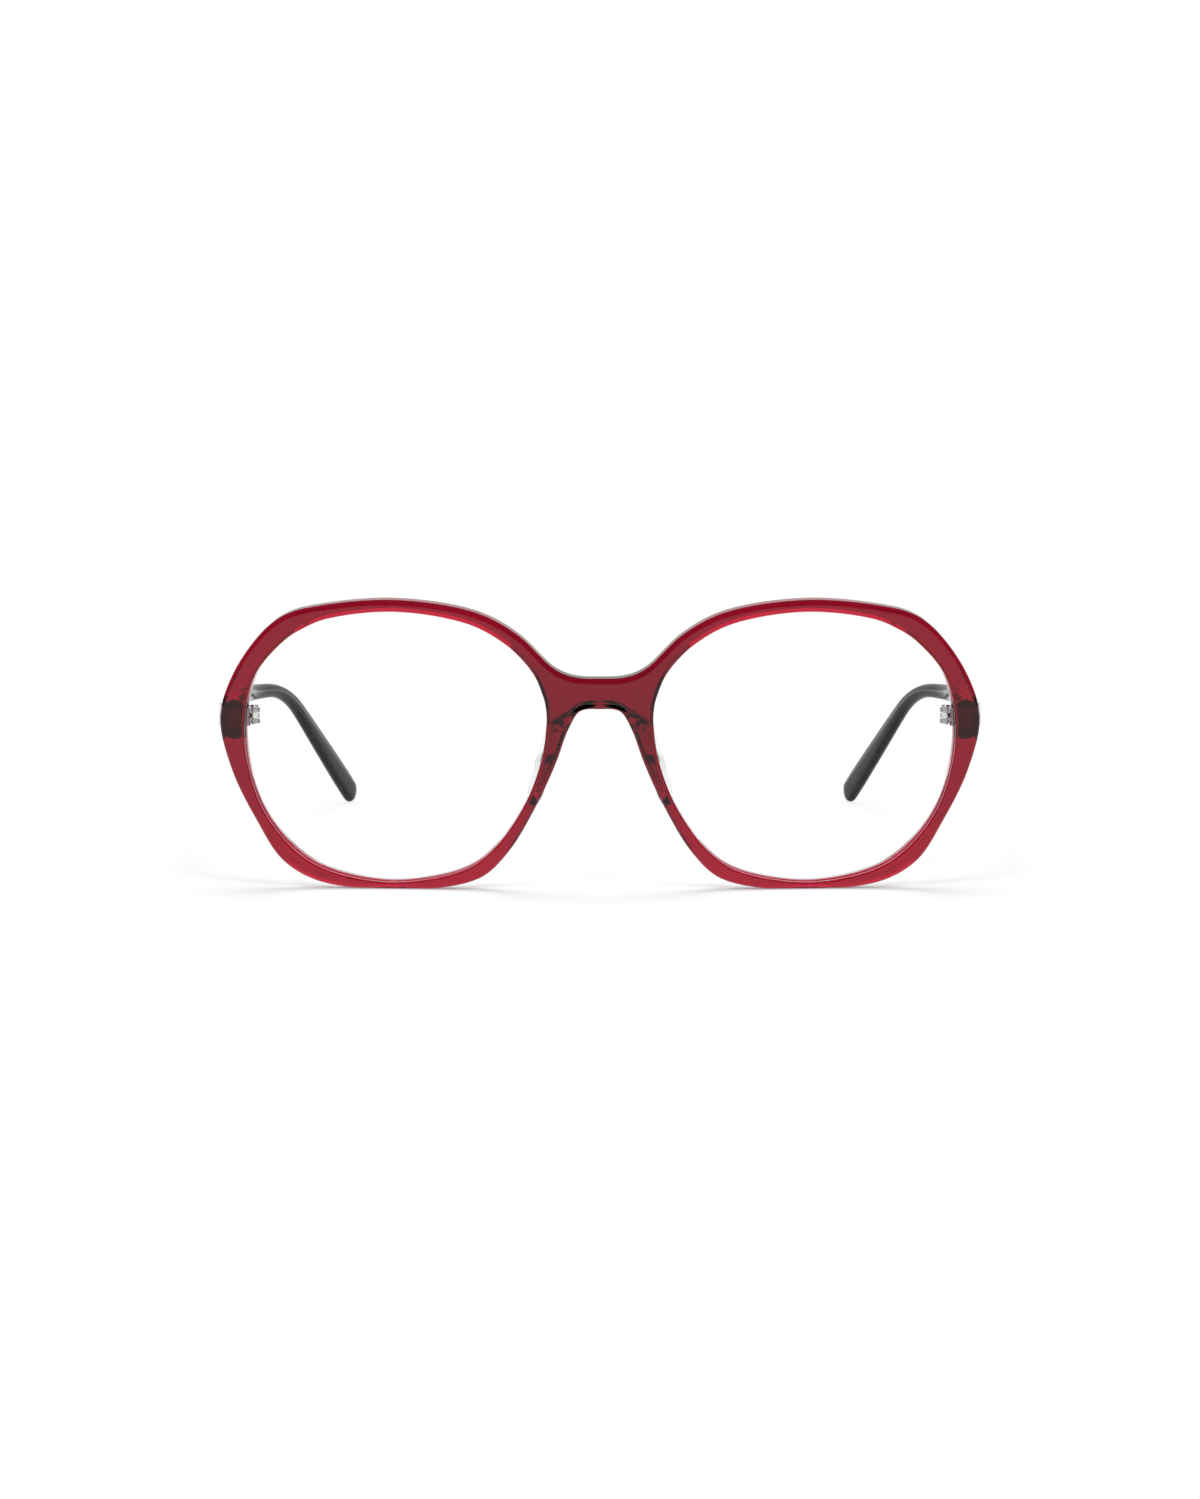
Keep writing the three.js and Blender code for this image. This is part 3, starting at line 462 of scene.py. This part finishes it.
def lens_mesh(stations, side):
    """A thin meniscus lens with a V bevel, fitted to the opening."""
    centre = Vector((LENS_CENTRE, 0))

    def ring(share, inset, depth):
        spots = [centre.lerp(s.inner + s.inner_normal * inset, share) for s in stations]
        return [bent(spot.x, spot.y, depth) for spot in spots]

    def face_depth(share, face):
        half = LENS_THICKNESS / 2 * (1 if face else -1)
        return LENS_RIDGE_DEPTH + half - LENS_DOME * (1 - share * share)

    shares = [(k + 1) / LENS_RINGS for k in range(LENS_RINGS)]
    rings = [
        *(ring(share, -LENS_CLEARANCE, face_depth(share, 0)) for share in shares),
        ring(1, LENS_BITE, LENS_RIDGE_DEPTH),
        *(ring(share, -LENS_CLEARANCE, face_depth(share, 1)) for share in reversed(shares)),
    ]
    places, faces = skinned(rings, closed=False)
    front = len(places)
    back = front + 1
    places += [bent(LENS_CENTRE, 0, face_depth(0, face)) for face in (0, 1)]
    count = len(stations)
    last = (len(rings) - 1) * count
    for i in range(count):
        j = (i + 1) % count
        faces += [(front, i, j), (back, last + j, last + i)]
    return finished_mesh("lens", sided(places, side), faces)


def pad_mesh(side):
    """A rounded wing on the back of the nasal rim."""
    outline = ring_through(PAD_SHARES, PAD_STEPS)
    rings = []
    for k in range(PAD_LEVELS + 1):
        height = -math.cos(math.pi * k / PAD_LEVELS)
        up = height * PAD_HEIGHT / 2 - PAD_DROP
        across = LENS_CENTRE - OPENING_HALF[0] - PAD_INSET - up * math.tan(PAD_FLARE)
        swell = math.sqrt(1 - (PAD_END_SHARE * height) ** 2)
        width = PAD_WIDTH * (1 + swell) / 2
        rings.append([
            bent(across + p.x * width, up, PAD_START + max(p.y, 0) * PAD_DEPTH * swell)
            for p in outline
        ])
    places, faces = skinned(rings, closed=False)
    count = len(outline)
    last = PAD_LEVELS * count
    faces += [tuple(range(count)), tuple(last + i for i in reversed(range(count)))]
    return finished_mesh("pad", sided(places, side), faces)


# Parts of materials


def new_material(name):
    """A node material and its tree, still empty."""
    material = bpy.data.materials.new(name)
    material.use_nodes = True
    tree = material.node_tree
    tree.nodes.clear()
    return material, tree


def add(tree, kind, **inputs):
    """A node with values on its own sockets, or links where another node's socket is given."""
    node = tree.nodes.new(kind)
    for name, value in inputs.items():
        socket = node.inputs[name.replace("_", " ")]
        if isinstance(value, bpy.types.NodeSocket):
            tree.links.new(value, socket)
        else:
            socket.default_value = value
    return node


def combined(tree, operation, *values):
    """The result of one sum on one or two values."""
    node = tree.nodes.new("ShaderNodeMath")
    node.operation = operation
    for value, socket in zip(values, node.inputs):
        tree.links.new(value, socket)
    return node.outputs["Value"]


def mixed(tree, share, first, second):
    """A mix of two shaders."""
    node = add(tree, "ShaderNodeMixShader", Fac=share)
    tree.links.new(first, node.inputs[1])
    tree.links.new(second, node.inputs[2])
    return node.outputs["Shader"]


def light_path(tree):
    """What kind of light ray meets the surface."""
    return add(tree, "ShaderNodeLightPath").outputs


def own_place(tree):
    """The place in the object's own space."""
    return add(tree, "ShaderNodeTexCoord").outputs["Object"]


def noise(tree, scale, detail=3):
    """Noise over the object's own space, as a value from 0 to 1."""
    node = add(tree, "ShaderNodeTexNoise", Vector=own_place(tree), Scale=scale, Detail=detail)
    return node.outputs["Fac"]


def spread(tree, value, results, reach=(0, 1), soft=False):
    """Moves a value from its reach into a range of results."""
    node = add(
        tree,
        "ShaderNodeMapRange",
        Value=value,
        From_Min=reach[0],
        From_Max=reach[1],
        To_Min=results[0],
        To_Max=results[1],
    )
    if soft:
        node.interpolation_type = "SMOOTHSTEP"
    return node.outputs["Result"]


def between(tree, value, colours):
    """A colour between two, by the value of a noise."""
    node = add(tree, "ShaderNodeValToRGB", Fac=value)
    for stop, position, colour in zip(node.color_ramp.elements, NOISE_ENDS, colours):
        stop.position = position
        stop.color = (*colour, 1)
    return node.outputs["Color"]


def bump(tree, value, strength, depth):
    """Small unevenness of a surface."""
    node = add(tree, "ShaderNodeBump", Strength=strength, Distance=depth, Height=value)
    return node.outputs["Normal"]


def front_painted_shading(tree):
    """Painted light and shade on the sheet: a little deeper round the bridge and lighter low down.
    """
    parts = add(tree, "ShaderNodeSeparateXYZ", Vector=own_place(tree))
    across = combined(tree, "ABSOLUTE", parts.outputs["X"])
    bridge = spread(tree, across, soft=True, **BRIDGE_PAINTED_SHADE)
    foot = spread(tree, parts.outputs["Z"], soft=True, **FOOT_PAINTED_LIGHT)
    return combined(tree, "MULTIPLY", bridge, foot)


def clear_plastic(
    name, colours, roughness, absorbed, density, shadow, waviness, ior=ACRYLIC_IOR, painted_shading=None
):
    """Polished see-through plastic: it bends light, tints it with depth and lets lamps through."""
    material, tree = new_material(name)
    colour = between(tree, noise(tree, TINT_SCALE), colours)
    # painted light and shade: the colour can be scaled by place, darker or lighter where light falls
    if painted_shading:
        painted_shading_node = tree.nodes.new("ShaderNodeVectorMath")
        painted_shading_node.operation = "SCALE"
        tree.links.new(colour, painted_shading_node.inputs[0])
        tree.links.new(painted_shading(tree), painted_shading_node.inputs["Scale"])
        colour = painted_shading_node.outputs["Vector"]
    shader = add(
        tree,
        "ShaderNodeBsdfPrincipled",
        Base_Color=colour,
        Roughness=spread(tree, noise(tree, CLEAR_GLOSS_SCALE), roughness),
        IOR=ior,
        Transmission_Weight=1,
    )
    if waviness:
        waves = bump(tree, noise(tree, WAVE_SCALE, detail=1), waviness, WAVE_DEPTH)
        tree.links.new(waves, shader.inputs["Normal"])
    clear = add(tree, "ShaderNodeBsdfTransparent", Color=(*shadow, 1))
    surface = mixed(
        tree, light_path(tree)["Is Shadow Ray"], shader.outputs["BSDF"], clear.outputs["BSDF"]
    )
    output = add(tree, "ShaderNodeOutputMaterial", Surface=surface)
    if density:
        depth = add(tree, "ShaderNodeVolumeAbsorption", Color=(*absorbed, 1), Density=density)
        tree.links.new(depth.outputs["Volume"], output.inputs["Volume"])
    return material


def solid_surface(
    name,
    colours,
    colour_scale,
    roughness,
    metallic,
    grain_scale,
    grain_strength,
    grain_depth,
    specular=0.5,
):
    """An opaque surface with a varied colour, uneven gloss and a fine grain."""
    material, tree = new_material(name)
    shader = add(
        tree,
        "ShaderNodeBsdfPrincipled",
        Base_Color=between(tree, noise(tree, colour_scale), colours),
        Roughness=spread(tree, noise(tree, SOLID_GLOSS_SCALE, detail=4), roughness),
        Normal=bump(tree, noise(tree, grain_scale, detail=5), grain_strength, grain_depth),
        Metallic=metallic,
        Specular_IOR_Level=specular,
    )
    add(tree, "ShaderNodeOutputMaterial", Surface=shader.outputs["BSDF"])
    return material


# Materials by their slots, and a darker copy of the hinge steel for the front leaves of the hinges,
# as painted shade
materials = {
    "burgundy_acetate": clear_plastic(
        "burgundy",
        colours=((0.385, 0.007, 0.042), (0.425, 0.009, 0.048)),
        roughness=(0.0, 0.02),
        absorbed=(0.86, 0.5, 0.59),
        density=800,
        shadow=(0.3, 0.42, 0.4),
        waviness=0.02,
        # painted shade round the bridge and painted light at the foot
        painted_shading=front_painted_shading,
    ),
    "crystal_acetate": clear_plastic(
        "crystal",
        colours=((0.93, 0.94, 0.95), (0.97, 0.975, 0.98)),
        roughness=(0.0, 0.02),
        absorbed=(0.9, 0.93, 0.94),
        density=120,
        shadow=(0.93, 0.94, 0.94),
        waviness=0.02,
    ),
    "crystal_pad": clear_plastic(
        "pad_crystal",
        colours=((0.95, 0.96, 0.96), (0.98, 0.985, 0.985)),
        roughness=(0.01, 0.05),
        absorbed=(0.92, 0.95, 0.95),
        density=100,
        shadow=(0.95, 0.96, 0.96),
        waviness=0.05,
    ),
    "clear_lens": clear_plastic(
        "lens_plastic",
        colours=((0.99, 0.995, 0.995), (1, 1, 1)),
        roughness=(0.0, 0.01),
        absorbed=(1, 1, 1),
        density=0,
        shadow=(0.99, 0.99, 0.99),
        waviness=0,
        ior=COATED_LENS_IOR,
    ),
    "black_acetate": solid_surface(
        "black_acetate",
        colours=((0.003, 0.0035, 0.0034), (0.006, 0.0065, 0.0062)),
        colour_scale=220,
        roughness=(0.06, 0.12),
        metallic=0,
        grain_scale=1500,
        grain_strength=0.08,
        grain_depth=0.00003,
        specular=0.3,
    ),
    "hinge_steel": solid_surface(
        "nickel_silver",
        colours=((0.72, 0.73, 0.71), (0.84, 0.85, 0.83)),
        colour_scale=1500,
        roughness=(0.05, 0.14),
        metallic=1,
        grain_scale=6000,
        grain_strength=0.12,
        grain_depth=0.00004,
    ),
    # the hinge's own steel made darker: painted shade on the front leaves, which sit in the front's
    # pockets
    "front_leaf_painted_shade": solid_surface(
        "nickel_painted_shade",
        colours=((0.37, 0.375, 0.37), (0.47, 0.475, 0.47)),
        colour_scale=1500,
        roughness=(0.08, 0.18),
        metallic=1,
        grain_scale=6000,
        grain_strength=0.12,
        grain_depth=0.00004,
    ),
    "plaque_steel": solid_surface(
        "satin_silver",
        colours=((0.66, 0.66, 0.65), (0.76, 0.76, 0.75)),
        colour_scale=800,
        roughness=(0.2, 0.34),
        metallic=1,
        grain_scale=9000,
        grain_strength=0.12,
        grain_depth=0.00003,
    ),
}

# The pieces, one for each node
stations = rim_stations()
own_meshes = {
    "front_acetate": both_halves(stations, colour_section, "front"),
    "rear_laminate": both_halves(stations, crystal_section, "rear"),
}
for name, side in (("left", 1), ("right", -1)):
    own_meshes["lens_" + name] = lens_mesh(stations, side)
    own_meshes["nose_pad_" + name] = pad_mesh(side)

for node in frame["nodes"]:
    if node in own_meshes:
        piece = fitted(own_meshes[node], node)
    else:
        piece = smooth_copy(node, SMOOTHING_ROUNDS[node.split("_")[0]])
    # the front leaves of the hinges take the darker steel with painted shade
    finish = "front_leaf_painted_shade" if node.startswith("hinge_front_leaf") else slots[node]
    piece.data.materials.append(materials[finish])


# Stage, light and camera


def stage_piece(name, places, material):
    """A flat piece of the stage."""
    mesh = bpy.data.meshes.new(name)
    mesh.from_pydata(places, [], [tuple(range(len(places)))])
    mesh.materials.append(material)
    piece = bpy.data.objects.new(name, mesh)
    bpy.context.scene.collection.objects.link(piece)


def white_floor():
    """A pale floor that reads as white and keeps a faint shadow round the glasses."""
    material, tree = new_material("floor_white")
    path = light_path(tree)
    place = own_place(tree)
    paper = add(tree, "ShaderNodeBsdfDiffuse", Color=PAPER)
    parts = add(tree, "ShaderNodeSeparateXYZ", Vector=place)
    in_gloss = spread(tree, parts.outputs["Y"], FLOOR_IN_GLOSS, FLOOR_TURN)
    strength = spread(tree, path["Is Reflection Ray"], (1, in_gloss))
    glow = add(tree, "ShaderNodeEmission", Color=WHITE, Strength=strength)
    distance = tree.nodes.new("ShaderNodeVectorMath")
    distance.operation = "LENGTH"
    tree.links.new(place, distance.inputs[0])
    near = spread(tree, distance.outputs["Value"], (FLOOR_SHADE, 0), FLOOR_FADE, soft=True)
    kept = spread(tree, path["Is Camera Ray"], (SHADE_THROUGH_PLASTIC, 1))
    shade = combined(tree, "MULTIPLY", near, kept)
    camera_or_gloss = combined(tree, "MAXIMUM", path["Is Camera Ray"], path["Is Glossy Ray"])
    seen = combined(tree, "MAXIMUM", camera_or_gloss, path["Is Transmission Ray"])
    direct = spread(tree, path["Diffuse Depth"], (1, 0))
    share = combined(
        tree, "MULTIPLY", combined(tree, "MULTIPLY", seen, direct), spread(tree, shade, (1, 0))
    )
    surface = mixed(tree, share, paper.outputs["BSDF"], glow.outputs["Emission"])
    add(tree, "ShaderNodeOutputMaterial", Surface=surface)
    step = 2 * math.pi / FLOOR_SIDES
    edge = [
        (FLOOR_RADIUS * math.cos(i * step), FLOOR_RADIUS * math.sin(i * step), 0)
        for i in range(FLOOR_SIDES)
    ]
    stage_piece("floor", edge, material)


def white_backdrop():
    """A plain white wall behind, which the gloss and the clear plastic show too."""
    material, tree = new_material("backdrop_white")
    strength = spread(tree, light_path(tree)["Is Reflection Ray"], (1, BACKDROP_IN_GLOSS))
    glow = add(tree, "ShaderNodeEmission", Color=WHITE, Strength=strength)
    add(tree, "ShaderNodeOutputMaterial", Surface=glow.outputs["Emission"])
    y, half, height = BACKDROP["y"], BACKDROP["half_width"], BACKDROP["height"]
    corners = [(half, y, 0), (-half, y, 0), (-half, y, height), (half, y, height)]
    stage_piece("backdrop", corners, material)


def studio_world():
    """White straight to the camera, and dimmer to every surface."""
    world = bpy.data.worlds.new("studio")
    world.use_nodes = True
    tree = world.node_tree
    tree.nodes.clear()
    path = light_path(tree)
    strength = combined(
        tree,
        "MAXIMUM",
        spread(tree, path["Is Diffuse Ray"], (DARK_ROOM, ROOM_LIGHT)),
        spread(tree, path["Is Transmission Ray"], (DARK_ROOM, ROOM_THROUGH_PLASTIC)),
    )
    light = add(tree, "ShaderNodeBackground", Color=WHITE, Strength=strength)
    seen = add(tree, "ShaderNodeBackground", Color=WHITE, Strength=1)
    surface = mixed(
        tree, path["Is Camera Ray"], light.outputs["Background"], seen.outputs["Background"]
    )
    add(tree, "ShaderNodeOutputWorld", Surface=surface)
    bpy.context.scene.world = world


def soft_lamp(name, place, size, power, seen):
    """A soft box aimed at the glasses, for one kind of light path."""
    lamp = bpy.data.lights.new(name, "AREA")
    lamp.shape = "RECTANGLE"
    lamp.size, lamp.size_y = size
    lamp.energy = power
    lamp.use_nodes = True
    tree = lamp.node_tree
    tree.nodes.clear()
    bright = 1 if seen == "diffuse" else spread(tree, light_path(tree)["Diffuse Depth"], (1, 0))
    glow = add(tree, "ShaderNodeEmission", Color=WHITE, Strength=bright)
    add(tree, "ShaderNodeOutputLight", Surface=glow.outputs["Emission"])
    item = bpy.data.objects.new(name, lamp)
    item.location = place
    item.rotation_euler = (-Vector(place)).to_track_quat("-Z", "Y").to_euler()
    for kind in ("camera", "diffuse", "glossy", "transmission"):
        setattr(item, "visible_" + kind, kind == seen)
    bpy.context.scene.collection.objects.link(item)


def set_camera():
    """The camera in front of the glasses, tilted down a little."""
    data = bpy.data.cameras.new("camera")
    data.lens = FOCAL_LENGTH
    data.sensor_width = SENSOR_SIZE
    camera = bpy.data.objects.new("camera", data)
    camera.location = CAMERA_PLACE
    camera.rotation_euler = (math.radians(90 - CAMERA_PITCH), 0, 0)
    bpy.context.scene.collection.objects.link(camera)
    bpy.context.scene.camera = camera


white_floor()
white_backdrop()
studio_world()
for name, lamp in LAMPS.items():
    soft_lamp(name, **lamp)
set_camera()
bpy.context.scene.view_settings.view_transform = "Standard"
